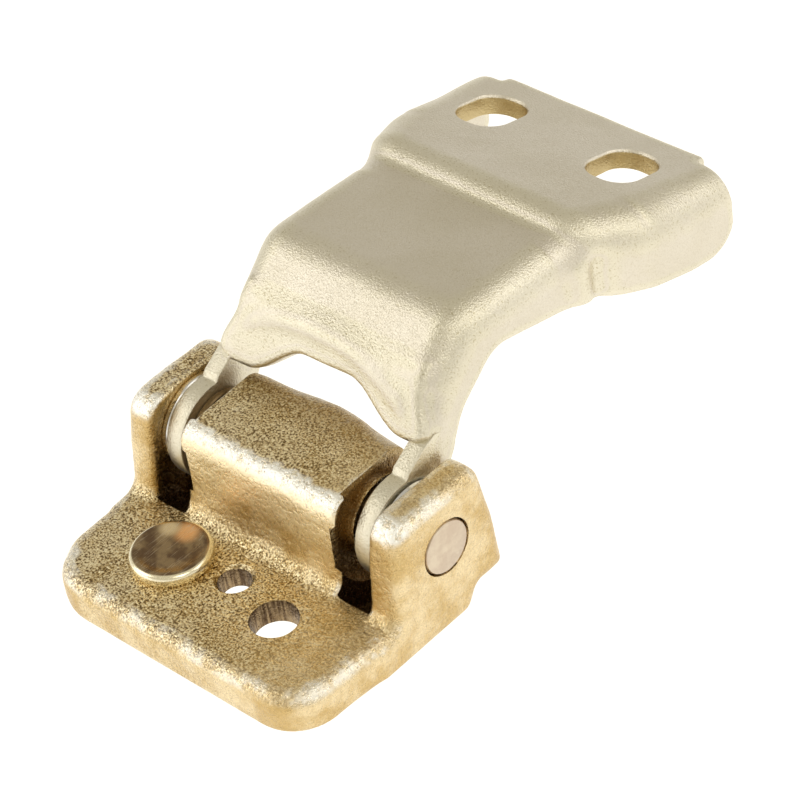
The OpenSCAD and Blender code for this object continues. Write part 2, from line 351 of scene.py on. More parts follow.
def turned(name, profile, place, axis="X", hollow=False, segments=128):
    """A turned piece. Its profile is (distance along the axis, radius): from end to end of a solid
    piece, or once round the section of a hollow one."""
    rings = []
    for distance, radius in profile:
        ring = []
        for i in range(segments):
            turn = 2 * math.pi * i / segments
            c, s = radius * math.cos(turn), radius * math.sin(turn)
            spot = (distance, c, s) if axis == "X" else (c, s, distance)
            ring.append(Vector(place) + Vector(spot))
        rings.append(ring)
    return stacked(name, rings, hollow)


def settle(piece):
    """Makes the piece's modifiers part of its mesh."""
    bpy.context.view_layer.update()
    seen = piece.evaluated_get(bpy.context.evaluated_depsgraph_get())
    mesh = bpy.data.meshes.new_from_object(seen)
    piece.modifiers.clear()
    piece.data = mesh


def combine(piece, how, *tools):
    """Joins the tools to the piece or cuts them out of it, then removes them."""
    for tool in tools:
        change = piece.modifiers.new("combine", "BOOLEAN")
        change.operation = how
        change.solver = "MANIFOLD"
        change.object = tool
        settle(piece)
        bpy.data.objects.remove(tool)


def slab(name, points, x0, x1, bevel):
    """A plate with an outline in the side view, (y, height over the pin), and bevelled rims."""
    piece = stacked(name, [[(x, y, z + PIN_Z) for y, z in points] for x in (x0, x1)])
    rims = piece.modifiers.new("rims", "BEVEL")
    rims.width = bevel * MM
    rims.segments = 2
    rims.angle_limit = math.radians(40)
    settle(piece)
    return piece


def block(name, low, high):
    """A plain box; heights are over the pin."""
    (x0, y0, z0), (x1, y1, z1) = low, high
    ring = [(x0, y0), (x1, y0), (x1, y1), (x0, y1)]
    return stacked(name, [[(x, y, z + PIN_Z) for x, y in ring] for z in (z0, z1)])


def finish_piece(piece, body, material, replaced):
    """Smooths and paints a piece, ties it to its body, and hides the nodes that it stands in for."""
    for polygon in piece.data.polygons:
        polygon.use_smooth = True
    piece.data.set_sharp_from_angle(angle=math.radians(32))
    piece.data.materials.clear()
    piece.data.materials.append(material)
    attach(piece, body)
    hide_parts(*replaced)


# ---- Body bracket ----

# The side views of the ears and the knuckle start inside the plate and share one foot
DEEP = -30
UNDERCUT = -13.7
IN_PLATE = [(-20, DEEP, 0), (-20, PLATE_TOP, 0)]
BACK_FOOT = [(6.2, UNDERCUT, 1.2), (4.7, -17, 0), (4.7, DEEP, 0)]


def plate_field(x, y, z):
    """The bolting plate, a little narrower in front; its back end lies under the knuckle."""
    back = SLOT_FRONT + 5
    plan = outline(x, y, rounded([(-30.8, FRONT_Y, 11), (30.6, FRONT_Y, 9), (31.1, -24, 0),
                                  (HALF_W, SHOULDER_Y, 4), (HALF_W, back, 0.3), (-HALF_W, back, 0.3),
                                  (-HALF_W, SHOULDER_Y, 4), (-31.2, -24, 0)]))
    return both(plan, z - PLATE_TOP, 3.0)


def ears_field(x, y, z):
    """Both ears, leaning a little and rounded outside, flat inside."""
    side = outline(y, z, rounded([*IN_PLATE, (-13.1, PLATE_TOP, 2.6), (-12.1, 0, 4), (-10.3, EAR_TOP, 4.6),
                                  (10.3, EAR_TOP, 3.2), (12.6, -2, 12), (13.1, UNDERCUT, 1.6),
                                  *BACK_FOOT]))
    return both(both(side, np.abs(x) - HALF_W, 3.0), EAR_IN - np.abs(x), 1.0)


def knuckle_field(x, y, z):
    """The knuckle, whose back swells out in the middle and is slightly wavy."""
    side = outline(y, z, rounded([*IN_PLATE, (-12.2, PLATE_TOP, 3.6), (-11.3, -3, 5), (-11.3, 9.4, 4.2),
                                  (-4, 9.8, 8), (20, 10.2, 0), (20, UNDERCUT, 0), *BACK_FOOT]))
    swell = 1.8 * (1 - (x / KNUCKLE_HALF) ** 2) + 0.25 * np.sin(x / 3.1 + 0.8)
    knuckle = both(side, y - 8.0 - swell, 3.4)
    return both(knuckle, np.abs(x) - KNUCKLE_HALF - 0.5, 0.8)


def bracket_field(x, y, z):
    """The forging before it is machined, a little small so that its unevenness stays in its box."""
    web = both(outline(x, y, [(-26, -15), (26, -15), (26, 4.2), (-26, 4.2)]), z - WEB_TOP, 0.2)
    whole = np.minimum(np.minimum(plate_field(x, y, z), ears_field(x, y, z)),
                       np.minimum(knuckle_field(x, y, z), web))
    recess = outline(x, y, rounded([(-24, -31.5, 7), (24, -31.5, 7), (24, SHOULDER_Y, 3),
                                    (-24, SHOULDER_Y, 3)]))
    whole = both(whole, -both(recess, z - RECESS_ROOF, 0.8), 0.6)
    whole = both(whole, BOTTOM - z, 0.8)
    uneven = 0.10 * waves(x, y, z, 11) + 0.035 * waves(x, y, z, 3.2, 24)
    flat_below = ease((z - BOTTOM - 0.5) / 2)
    return whole + uneven * flat_below + 0.16


def machined(x, y, z):
    """The space that the cutters take from the forging, for the shading of its recesses."""
    around = np.sqrt(y ** 2 + z ** 2)
    aside = np.abs(x)
    ring = np.maximum(around - RING_R, np.maximum(RING_IN - aside, aside - EAR_IN))
    ring = np.maximum(ring, -np.minimum(HUB_R - around, HUB_END - aside))
    slot = np.maximum(np.abs(aside - (KNUCKLE_HALF + EAR_IN) / 2) - (EAR_IN - KNUCKLE_HALF) / 2,
                      np.maximum(SLOT_FRONT - y, WEB_TOP - z))
    space = np.minimum(ring, np.maximum(slot, np.where(around < HUB_R, 1, -9)))
    for hole_x, hole_y, hole_r in (BOLT, LOCATOR):
        space = np.minimum(space, np.sqrt((x - hole_x) ** 2 + (y - hole_y) ** 2) - hole_r)
    return space


def pin_cutters(side):
    """What is cut round the pin on one side: ring, slot, hub end, washer seat and bore mouth."""
    on_pin = (0, 0, PIN_Z)
    ring = turned("ring", [(side * RING_IN, HUB_R), (side * RING_IN, RING_R),
                           (side * RING_OUT, RING_R), (side * RING_OUT, HUB_R)], on_pin, hollow=True)
    near, far = sorted((side * KNUCKLE_HALF, side * EAR_IN))
    slot = block("slot", (near, SLOT_FRONT, WEB_TOP), (far, EAR_BACK + PAST, EAR_TOP + PAST))
    hub = turned("hub", [(side * RING_IN, HUB_R), (side * EAR_IN, HUB_R)], on_pin)
    combine(slot, "DIFFERENCE", hub)
    hub_end = turned("hub_end", [(side * HUB_END, RING_R), (side * RING_OUT, RING_R)], on_pin)
    seat = turned("seat", [(side * SEAT_IN, SEAT_R), (side * WASHER_OUT, SEAT_R)], on_pin)
    mouth = turned("mouth", [(side * (HALF_W - 1.2), PIN_R), (side * (HALF_W - 0.8), PIN_R + 0.25),
                             (side * (HALF_W + PAST), PIN_R + 0.42)], on_pin)
    return [ring, slot, hub_end, seat, mouth]


def plate_cutters():
    """The two chamfered holes, and the hole for the stud's shank."""
    under = -1
    x, y, r = BOLT
    bolt_hole = turned("bolt_hole", [(under, r), (PLATE_TOP_Z - 0.5, r), (PLATE_TOP_Z + 0.05, r + 0.2),
                                     (PLATE_TOP_Z + 1, r + 0.8)], (x, y, 0), "Z")
    x, y, r = LOCATOR
    locating_hole = turned("locating_hole", [(under, r), (PLATE_TOP_Z - 0.8, r),
                                             (PLATE_TOP_Z + 0.2, r + 0.9)], (x, y, 0), "Z")
    stud_hole = turned("stud_hole", [(under, SHANK_R), (PLATE_TOP_Z + 1, SHANK_R)],
                       (STUD_X, STUD_Y, 0), "Z")
    return [bolt_hole, locating_hole, stud_hole]


def make_bracket(step):
    """The forging, sampled and meshed, then drilled and turned."""
    solid = Solid(bracket_field, (-HALF_W, FRONT_Y, BOTTOM), (HALF_W, EAR_BACK, EAR_TOP), step, 0.5)
    piece = solid.mesh("bracket_forging")
    bore = turned("bore", [(-HALF_W - PAST, PIN_R), (HALF_W + PAST, PIN_R)], (0, 0, PIN_Z))
    combine(piece, "DIFFERENCE", *pin_cutters(-1), *pin_cutters(1), bore, *plate_cutters())
    mark_relief(piece, solid, machined)
    return piece


# ---- Arm ----

def flange_height(y):
    """Height of the flange's sloping top."""
    return FLANGE_END + (ARM_FAR - y) * math.tan(math.radians(FLANGE_PITCH))


def skin_field(x, y, z):
    """The top skin from lip to flange, drawn past both ends and solid underneath."""
    beyond, deep = 30, -90
    foot = LIP + beyond * LIP_DOWN
    end_y = ARM_FAR + beyond
    skin = outline(y, z, rounded([(*foot, 0), (*BROW, 5.5), (*CREST, 8), (*CREASE, 1.4),
                                  (RIDGE_Y, flange_height(RIDGE_Y) + 0.05, 5.0),
                                  (end_y, flange_height(end_y), 0), (end_y, deep, 0), (foot[0], deep, 0)]))
    # The brow is pushed out in a low ridge that follows the lip's arch
    height = z - (22.5 - 0.05 * x - 0.013 * x * x)
    ridge = 0.5 * np.exp(-(height / 1.7) ** 2) * ease((20 - np.abs(x)) / 4) * ease((16 - y) / 3)
    return skin - ridge


def walls_field(x, y, z):
    """The space between the walls' outer faces: parallel, then flared out to the flange."""
    flare = ease((y - FLARE_START) / FLARE_LENGTH)
    width = LEAF_OUT + (FLANGE_HALF - 0.2 - LEAF_OUT) * flare
    # Low down, a fold marks where the wall turns out into the skirt
    fold = 0.6 * np.exp(-((y - 45.8) / 2.0) ** 2) - 1.1 * np.exp(-((y - 49.2) / 1.5) ** 2)
    width = width + fold * ease((26 - z) / 4)
    # Dividing by the length of the flare's steepest slope keeps the sheet about equally thick
    flaring = (y > FLARE_START) & (y < FLARE_START + FLARE_LENGTH)
    lean = 1.5 * (FLANGE_HALF - LEAF_OUT) / FLARE_LENGTH * flaring
    return (np.abs(x) - width) / np.sqrt(1 + lean ** 2)


def sheet_field(x, y, z, up):
    """The bent sheet between its outer and inner faces; up is the distance up the lip."""
    skin = skin_field(x, y, z)
    wall = walls_field(x, y, z)
    # The bend between them opens upwards from the flat leaves; along the flange it widens, then
    # narrows again
    bend = 4.2 + 1.8 * ease((up - 2) / 12) + 1.4 * ease((y - 46) / 8) - 1.5 * ease((y - 66) / 12)
    # The walls thin out into the leaves, which are added as plain plates
    sink = 0.25 * (1 - ease(np.minimum(z - WALL_LOW, 1.2 * up) / 5))
    # Beside the brow the walls stand back from it, so that it ends in two free horns, of which
    # the left one reaches a little further out
    horn_half = 23.4 - 2.4 * ease((up - 1) / 8) + 0.5 * (x < 0)
    set_back = 1.0 * ease((13 - up) / 6)
    horn = both(skin, np.abs(x) - horn_half, 1.5)
    body = both(skin + set_back, wall + sink, bend)
    outer = np.where(up < 13.5, either(horn, body, 1.2 * ease((13 - up) / 4)), body)
    inner = both(skin + SHEET, wall + SHEET - sink, bend - SHEET)
    return both(outer, -inner, 0.3)


def rim_field(y, z):
    """The side view of the arm over the rim of its walls and flange."""
    high, deep = 60, -40
    return outline(y, z, rounded([(2.0, deep, 0), (2.0, high, 0), (ARM_FAR, high, 0), (ARM_FAR, 18.5, 0),
                                  (80.4, 17, 2), (79.8, 7.2, 6.5), (68, 10, 8), (56, 13.6, 12),
                                  (43, 16.2, 12), (24.8, 20.8, 6), (16.1, 13.6, 14), (12.8, 8, 6),
                                  (9.0, 0, 0), (9.0, deep, 0)]))


def lip_end_field(x, y, z, up):
    """The space over the lip's arched lower edge, and over the ends of the walls behind it."""
    arch = 6.3 * ease((17.5 + 0.06 * x - np.abs(x)) / 12.5) - 0.8 + 0.03 * x
    lip_end = arch - up + 1.2 * ease((np.abs(x) - 21) / 2.4)
    lip_end = np.where(y < 14, lip_end, -5)
    in_wall = (np.abs(x) > LEAF_IN - 1) & (y > 7.5)
    return np.where(in_wall, WALL_LOW - z, lip_end)


def arm_field(x, y, z):
    """The pressing without its leaves, a hair small so that its unevenness stays in its box."""
    up = (LIP[0] - y) * LIP_DOWN[0] + (LIP[1] - z) * LIP_DOWN[1]
    shell = both(sheet_field(x, y, z, up), rim_field(y, z), 0.7)
    beside_notch = np.maximum(NOTCH_X - np.abs(x), NOTCH_Y - y)
    shell = both(shell, -beside_notch, 0.3)
    shell = both(shell, lip_end_field(x, y, z, up), 0.8)
    uneven = 0.05 * waves(x, y, z, 14) + 0.012 * waves(x, y, z, 3.0, 20)
    return shell + uneven + 0.04


def leaf_outline():
    """The side view of a leaf: its round eye, and the neck that runs up into the wall."""
    eye = [(EYE_R * math.cos(math.radians(a)), EYE_R * math.sin(math.radians(a)), 0)
           for a in range(83, 380, 3)]
    neck = [(12.6, 8, 6), (13.2, 9.4, 0), (12.2, 13.0, 0), (8.8, 13.9, 0), (6.0, 12.9, 1), (1.9, 10.4, 0.6)]
    return rounded(eye + neck)


def leaves(x, y, z):
    """The leaves as a field, for the shading of the arm."""
    side = outline(y, z, leaf_outline())
    return np.maximum(side, np.abs(np.abs(x) - (LEAF_OUT + LEAF_IN) / 2) - SHEET / 2)


def slot_ring(x, grow, height):
    """One ring of a slot's cutter, widened, at a height over the flange's top face."""
    r = SLOT_CORNER + grow
    straight_x, straight_y = SLOT_HALF_W - SLOT_CORNER, SLOT_HALF_L - SLOT_CORNER
    pitch = math.radians(FLANGE_PITCH)
    steps = 12
    ring = []
    for quarter, (side_x, side_y) in enumerate(((1, 1), (-1, 1), (-1, -1), (1, -1))):
        for i in range(steps + 1):
            t = math.radians(90 * quarter + 90 / steps * i)
            u = side_x * straight_x + r * math.cos(t)
            v = side_y * straight_y + r * math.sin(t)
            ring.append((x + u, SLOT_Y + v * math.cos(pitch) + height * math.sin(pitch),
                         PIN_Z + flange_height(SLOT_Y) - v * math.sin(pitch) + height * math.cos(pitch)))
    return ring


def make_arm(step):
    """The pressing, sampled and meshed, then joined to its leaves, bored and slotted."""
    solid = Solid(arm_field, (-FLANGE_HALF, -EYE_R, -EYE_R),
                  (FLANGE_HALF, ARM_FAR, flange_height(RIDGE_Y)), step, 0.45)
    piece = solid.mesh("arm_pressing")
    # The leaves are a hair thinner than the sheet, so that no two faces coincide
    inset = 0.08
    for side in (-1, 1):
        ends = sorted((side * (LEAF_IN + inset), side * (LEAF_OUT - inset)))
        combine(piece, "UNION", slab("leaf", leaf_outline(), *ends, 0.25))
    bore = turned("eye_bore", [(-LEAF_OUT - PAST, BUSH_OUTER_R), (LEAF_OUT + PAST, BUSH_OUTER_R)],
                  (0, 0, PIN_Z))
    slots = [stacked("slot", [slot_ring(side * SLOT_X, grow, height) for grow, height in SLOT_PROFILE])
             for side in (-1, 1)]
    combine(piece, "DIFFERENCE", bore, *slots)
    solid.values = np.minimum(solid.values, leaves(*solid.axes))
    mark_relief(piece, solid)
    return piece


# ---- Turned pieces ----

def mirrored(profile, side):
    """A profile on the right side, 1, or on the left, -1."""
    return [(side * distance, radius) for distance, radius in profile]


def make_stud():
    """The stud: a shank in the plate, and a head with a dished top inside a rounded rim."""
    base, top = PLATE_TOP_Z, STUD_HIGH.z
    profile = [(STUD_LOW.z, SHANK_R - 0.4), (STUD_LOW.z + 0.4, SHANK_R), (base - 0.3, SHANK_R),
               (base - 0.3, STUD_R - 0.7), (base + 0.2, STUD_R - 0.25), (base + 0.7, STUD_R - 0.05)]
    profile.append((top - 1.1, STUD_R - 0.05))
    rim, steps = 1.05, 7
    for i in range(1, steps + 1):
        a = math.radians(90 * i / steps)
        profile.append((top - 1.1 + rim * math.sin(a), STUD_R - 1.1 + rim * math.cos(a)))
    profile += [(top - 0.16, STUD_R - 1.75), (top - 0.3, STUD_R - 2.2), (top - 0.42, STUD_R - 3.2),
                (top - 0.48, 2), (top - 0.5, 0.5)]
    return turned("stud_head", profile, (STUD_X, STUD_Y, 0), "Z", segments=160)


def make_pin():
    """The pin, whose ends are rounded off and lie just inside the ears."""
    end = [(HALF_W - 0.05, PIN_R - 0.45), (HALF_W - 0.12, PIN_R - 0.25), (HALF_W - 0.45, PIN_R - 0.06),
           (HALF_W - 1, PIN_R - 0.02)]
    profile = mirrored(end, -1) + end[::-1]
    return turned("pin_shaft", profile, (0, 0, PIN_Z))


def make_bush(side, word):
    """A bush in one of the arm's eyes, with its flange on the inner side."""
    inner, outer = PIN_R + 0.05, BUSH_OUTER_R - 0.01
    flange_in = LEAF_IN - 1.3
    bevel = 0.25
    profile = [(flange_in, inner + bevel), (flange_in, BUSH_FLANGE_R - bevel),
               (flange_in + bevel, BUSH_FLANGE_R), (LEAF_IN - bevel, BUSH_FLANGE_R),
               (LEAF_IN, BUSH_FLANGE_R - bevel), (LEAF_IN, outer), (LEAF_OUT - bevel, outer),
               (LEAF_OUT, outer - bevel), (LEAF_OUT, inner + bevel), (LEAF_OUT - bevel, inner),
               (flange_in + bevel, inner)]
    return turned(word + "_bush_flanged", mirrored(profile, side), (0, 0, PIN_Z), hollow=True)


def make_washer(side, word):
    """A thrust washer between an eye and its ear."""
    inner, bevel = PIN_R + 0.02, 0.2
    profile = [(WASHER_IN, inner + bevel), (WASHER_IN, WASHER_R - bevel), (WASHER_IN + bevel, WASHER_R),
               (WASHER_OUT - bevel, WASHER_R), (WASHER_OUT, WASHER_R - bevel), (WASHER_OUT, inner)]
    return turned(word + "_thrust_washer", mirrored(profile, side), (0, 0, PIN_Z), hollow=True)


# ---- Materials ----

class Paint:
    """A metal's Principled material, with helpers for its procedural nodes."""

    def __init__(self, name):
        self.material = bpy.data.materials.new(name)
        self.material.use_nodes = True
        self.tree = self.material.node_tree
        self.shader = self.tree.nodes["Principled BSDF"]
        self.shader.inputs["Metallic"].default_value = 1.0
        coordinates = self.node("ShaderNodeTexCoord")
        self.place = coordinates.outputs["Object"]
        self.normal = coordinates.outputs["Normal"]

    def node(self, kind, **values):
        made = self.tree.nodes.new(kind)
        for key, value in values.items():
            setattr(made, key, value)
        return made

    def feed(self, socket, value):
        """Sets a socket to a plain number or colour, or links an output to it."""
        if isinstance(value, tuple):
            socket.default_value = (*value, 1)
        elif isinstance(value, (int, float)):
            socket.default_value = value
        else:
            self.tree.links.new(value, socket)

    def noise(self, size_mm, detail=3.0, roughness=0.55, stretch=None):
        """Noise of about the given size; stretch is a rotation and a scale along each axis."""
        made = self.node("ShaderNodeTexNoise")
        made.inputs["Scale"].default_value = 1 / (size_mm * MM)
        made.inputs["Detail"].default_value = detail
        made.inputs["Roughness"].default_value = roughness
        place = self.place
        if stretch:
            mapping = self.node("ShaderNodeMapping")
            mapping.inputs["Rotation"].default_value, mapping.inputs["Scale"].default_value = stretch
            self.feed(mapping.inputs["Vector"], place)
            place = mapping.outputs["Vector"]
        self.feed(made.inputs["Vector"], place)
        return made.outputs["Fac"]

    def ramp(self, source, start, end, at_start=0.0, at_end=1.0):
        """A smooth change, as the source goes from start to end, which may also be downwards."""
        made = self.node("ShaderNodeMapRange", interpolation_type="SMOOTHSTEP")
        made.inputs["From Min"].default_value = start
        made.inputs["From Max"].default_value = end
        made.inputs["To Min"].default_value = at_start
        made.inputs["To Max"].default_value = at_end
        self.feed(made.inputs["Value"], source)
        return made.outputs["Result"]

    def attribute(self, name):
        return self.node("ShaderNodeAttribute", attribute_name=name).outputs["Fac"]

    def math(self, how, *values):
        made = self.node("ShaderNodeMath", operation=how)
        for socket, value in zip(made.inputs, values):
            self.feed(socket, value)
        return made.outputs[0]

    def product(self, first, *others):
        total = first
        for other in others:
            total = self.math("MULTIPLY", total, other)
        return total

    def mix(self, amount, a, b):
        """Colour a turning into colour b as the amount goes from 0 to 1."""
        made = self.node("ShaderNodeMix", data_type="RGBA")
        self.feed(made.inputs["Factor"], amount)
        colour_sockets = [socket for socket in made.inputs if socket.type == "RGBA"]
        for socket, value in zip(colour_sockets, (a, b)):
            self.feed(socket, value)
        return next(socket for socket in made.outputs if socket.type == "RGBA")

    def part(self, vector, axis):
        """A vector's part along one axis."""
        split = self.node("ShaderNodeSeparateXYZ")
        self.feed(split.inputs["Vector"], vector)
        return split.outputs[axis]

    def facing(self):
        """How far the surface faces up at rest: 1 for a level top, 0 for a wall, -1 underneath."""
        return self.part(self.normal, "Z")

    def along(self, axis, start, end, at_start=0.0, at_end=1.0):
        """A ramp between two places along an axis, in millimetres, at rest."""
        return self.ramp(self.part(self.place, axis), start * MM, end * MM, at_start, at_end)

    def aside(self, start, end, at_start=0.0, at_end=1.0):
        """A ramp between two distances from the middle plane, to either side, in millimetres."""
        distance = self.math("ABSOLUTE", self.part(self.place, "X"))
        return self.ramp(distance, start * MM, end * MM, at_start, at_end)

    def around(self, x, y, start, end):
        """A ramp between two distances from an upright line, in millimetres."""
        flat = self.node("ShaderNodeVectorMath", operation="MULTIPLY")
        flat.inputs[1].default_value = (1, 1, 0)
        self.feed(flat.inputs[0], self.place)
        gap = self.node("ShaderNodeVectorMath", operation="DISTANCE")
        gap.inputs[1].default_value = (x * MM, y * MM, 0)
        self.feed(gap.inputs[0], flat.outputs[0])
        return self.ramp(gap.outputs["Value"], start * MM, end * MM)

    def bump(self, height, distance_mm, strength=1.0, after=None):
        made = self.node("ShaderNodeBump")
        made.inputs["Strength"].default_value = strength
        made.inputs["Distance"].default_value = distance_mm * MM
        self.feed(made.inputs["Height"], height)
        if after is not None:
            self.feed(made.inputs["Normal"], after)
        return made.outputs["Normal"]

    def done(self, colour, normal, roughness):
        self.feed(self.shader.inputs["Base Color"], colour)
        self.feed(self.shader.inputs["Normal"], normal)
        self.feed(self.shader.inputs["Roughness"], roughness)
        return self.material


def pit(p, base, grain, up):
    """Tops are pitted and grainy, more so towards the left; walls are smoother."""
    worn = p.product(p.ramp(up, 0.2, 0.9, 0.25, 1.0), p.along("X", 4, 26, 1.0, 0.4))
    base = p.mix(p.product(p.ramp(grain, 0.51, 0.39), worn), base, (0.15, 0.09, 0.028))
    return p.mix(p.product(p.ramp(grain, 0.51, 0.62), worn), base, (1.0, 0.88, 0.58))


def paint_edge_highlights(p, base, patches, coarse, up):
    """Painted highlights: upward-facing edges are made near white, all along the front of the knuckle and
    ears, elsewhere in patches.
    """
    front = p.product(p.along("Y", -5, -8), p.along("Z", PIN_Z, PIN_Z + 3))
    broken = p.math("MAXIMUM", p.ramp(patches, 0.46, 0.62, 0.1, 0.7), front)
    broken = p.product(broken, p.ramp(coarse, 0.34, 0.52, 0.45, 1.0))
    rubbed = p.product(p.ramp(p.attribute("edge"), 0.09, 0.24), broken, p.ramp(up, 0.20, 0.60))
    # Near-white painted highlight on the rounded edges
    return p.mix(rubbed, base, (1.0, 0.97, 0.88))


def paint_knuckle_light_and_shade(p, base):
    """Painted light and shade on the knuckle: its back, under the arm, is made browner as painted shade;
    its front is made brighter towards the top as painted light.
    """
    knuckle = p.aside(KNUCKLE_HALF + 1, KNUCKLE_HALF)
    back = p.product(knuckle, p.along("Y", -2, 8, 0.0, 0.6))
    base = p.mix(back, base, (0.30, 0.19, 0.07))
    front = p.product(p.along("Y", -9.5, -10.8), p.along("Z", PIN_Z - 3, PIN_Z + 4, 0.0, 0.75))
    return p.mix(p.product(knuckle, front), base, (1.0, 0.86, 0.58))


def paint_ear_wall_shade(p, base, up):
    """Painted shade: the ears' walls next to the slots are made browner."""
    beside = p.product(p.aside(EAR_IN + 4.5, EAR_IN + 0.5, 0.0, 0.6),
                       p.aside(KNUCKLE_HALF + 2, KNUCKLE_HALF + 4), p.ramp(up, 0.6, 0.2))
    return p.mix(beside, base, (0.52, 0.34, 0.11))


def paint_slot_shade(p, base):
    """Painted shade: deep places are made brown, and nearly black in the slots below the plate's top."""
    hidden_shade = p.ramp(p.attribute("shade"), 0.34, 0.60, 0.0, 0.75)
    base = p.mix(hidden_shade, base, (0.20, 0.11, 0.03))
    between = p.product(p.aside(KNUCKLE_HALF - 0.1, KNUCKLE_HALF), p.aside(EAR_IN + 0.2, EAR_IN + 0.1))
    low = p.along("Z", PIN_Z + 1, PLATE_TOP_Z)
    behind = p.along("Y", SLOT_FRONT - 0.05, SLOT_FRONT + 0.15)
    return p.mix(p.product(between, low, behind), base, (0.16, 0.10, 0.045))


def streak_and_shade_holes(p, base, up):
    """The drilled walls of the holes are streaked and dull; their dark brown is painted shade."""
    streaks = p.noise(0.5, 2.0, 0.6, ((0, 0, 0), (1.0, 1.0, 0.08)))
    drilled = p.mix(p.ramp(streaks, 0.35, 0.65), (0.10, 0.06, 0.03), (0.34, 0.24, 0.13))
    wall = p.ramp(up, 0.45, 0.25)
    for x, y, r in (BOLT, LOCATOR):
        inside = p.around(x, y, r + 0.6, r + 0.4)
        base = p.mix(p.product(inside, wall), base, drilled)
    return base


def forging_material():
    p = Paint("yellow_zinc_forging")
    grain = p.noise(0.36, 2.0, 0.6)
    coarse = p.noise(1.1, 3.0, 0.6)
    patches = p.noise(7, 3.0, 0.6)
    up = p.facing()
    base = p.mix(p.ramp(patches, 0.35, 0.65), (0.62, 0.44, 0.19), (0.80, 0.64, 0.38))
    base = pit(p, base, grain, up)
    # Painted highlights on the edges, then painted light and shade on the knuckle, ears, slots and holes
    base = paint_edge_highlights(p, base, patches, coarse, up)
    base = paint_knuckle_light_and_shade(p, base)
    base = paint_ear_wall_shade(p, base, up)
    base = paint_slot_shade(p, base)
    base = streak_and_shade_holes(p, base, up)
    normal = p.bump(coarse, 0.28)
    normal = p.bump(grain, 0.16, after=normal)
    return p.done(base, normal, p.ramp(coarse, 0.3, 0.7, 0.20, 0.34))


def pressing_material():
    p = Paint("pale_zinc_pressing")
    grain = p.noise(0.32, 2.0, 0.5)
    peel = p.noise(0.8, 2.0, 0.5)
    cloud = p.noise(16, 2.0, 0.5)
    base = p.mix(p.ramp(cloud, 0.35, 0.65), (0.70, 0.64, 0.53), (0.74, 0.68, 0.58))
    # Bends are yellower and spotted, where the sheet was stretched
    curve = p.attribute("edge")
    stretched = p.ramp(p.math("ABSOLUTE", curve), 0.03, 0.25, 0.2, 1.0)
    spots = p.product(p.ramp(grain, 0.40, 0.30), stretched)
    base = p.mix(p.product(stretched, 0.3), base, (0.78, 0.74, 0.50))
    base = p.mix(p.product(spots, 0.85), base, (0.46, 0.40, 0.24))
    base = p.mix(p.ramp(grain, 0.55, 0.40, 0.0, 0.11), base, (0.45, 0.37, 0.22))
    # Sharp outer edges are rubbed paler, and sheltered places are brown as painted shade
    base = p.mix(p.ramp(curve, 0.12, 0.6, 0.0, 0.3), base, (0.86, 0.80, 0.66))
    base = p.mix(p.ramp(p.attribute("shade"), 0.45, 0.75, 0.0, 0.8), base, (0.34, 0.26, 0.14))
    # The slotted holes are punched: plain golden walls
    punched = p.ramp(p.facing(), 0.55, 0.40)
    for side in (-1, 1):
        inside = p.around(side * SLOT_X, SLOT_Y, SLOT_HALF_L + 0.95, SLOT_HALF_L + 0.75)
        base = p.mix(p.product(inside, punched), base, (0.58, 0.46, 0.24))
    normal = p.bump(peel, 0.012, 0.8)
    normal = p.bump(grain, 0.14, 0.9, normal)
    return p.done(base, normal, 0.36)


def stud_material():
    p = Paint("polished_stud")
    scratches = p.noise(0.35, 3.0, 0.7, ((0, 0, math.radians(38)), (1.0, 0.05, 1.0)))
    stain = p.noise(3.4, 3.0, 0.6)
    top = p.ramp(p.facing(), 0.90, 0.98)
    face = p.mix(p.ramp(stain, 0.38, 0.62), (0.16, 0.10, 0.055), (0.34, 0.24, 0.13))
    # A heat-tinted patch near the back of the head, and a paler spot beside it
    patch = p.around(STUD_X - 0.6, STUD_Y + 4.6, 3.2, 0.8)
    face = p.mix(patch, face, (0.95, 0.52, 0.22))
    pale = p.around(STUD_X - 3.8, STUD_Y + 3.6, 2.6, 0.6)
    face = p.mix(pale, face, (0.80, 0.62, 0.36))
    face = p.mix(p.ramp(scratches, 0.52, 0.80, 0.0, 0.6), face, (0.75, 0.66, 0.50))
    base = p.mix(top, (0.95, 0.86, 0.62), face)
    return p.done(base, p.bump(scratches, 0.02, 0.7), p.ramp(scratches, 0.3, 0.7, 0.14, 0.30))


def pin_material():
    p = Paint("ground_pin")
    grain = p.noise(0.5, 3.0, 0.6)
    cloud = p.noise(3, 3.0, 0.6)
    base = p.mix(p.ramp(cloud, 0.35, 0.65), (0.58, 0.47, 0.36), (0.66, 0.56, 0.43))
    return p.done(base, p.bump(grain, 0.05, 0.7), p.ramp(grain, 0.3, 0.7, 0.28, 0.45))


def washer_material():
    p = Paint("bright_washer")
    turning = p.noise(0.6, 2.0, 0.5, ((0, 0, 0), (6.0, 0.4, 0.4)))
    base = p.mix(turning, (0.80, 0.79, 0.77), (0.70, 0.68, 0.64))
    return p.done(base, p.bump(turning, 0.01, 0.6), 0.2)


def bronze_material():
    p = Paint("bearing_bronze")
    grain = p.noise(0.6, 3.0, 0.6)
    # The very dark brown is painted shade: the bushes sit in shade between the eyes and the knuckle
    base = p.mix(grain, (0.12, 0.08, 0.04), (0.26, 0.18, 0.09))
    return p.done(base, p.bump(grain, 0.02, 0.6), 0.3)


# ---- Build ----

# Cell size of the sampled solids
STEP = 0.4

forging = forging_material()
pressing = pressing_material()
bronze = bronze_material()
bright = washer_material()

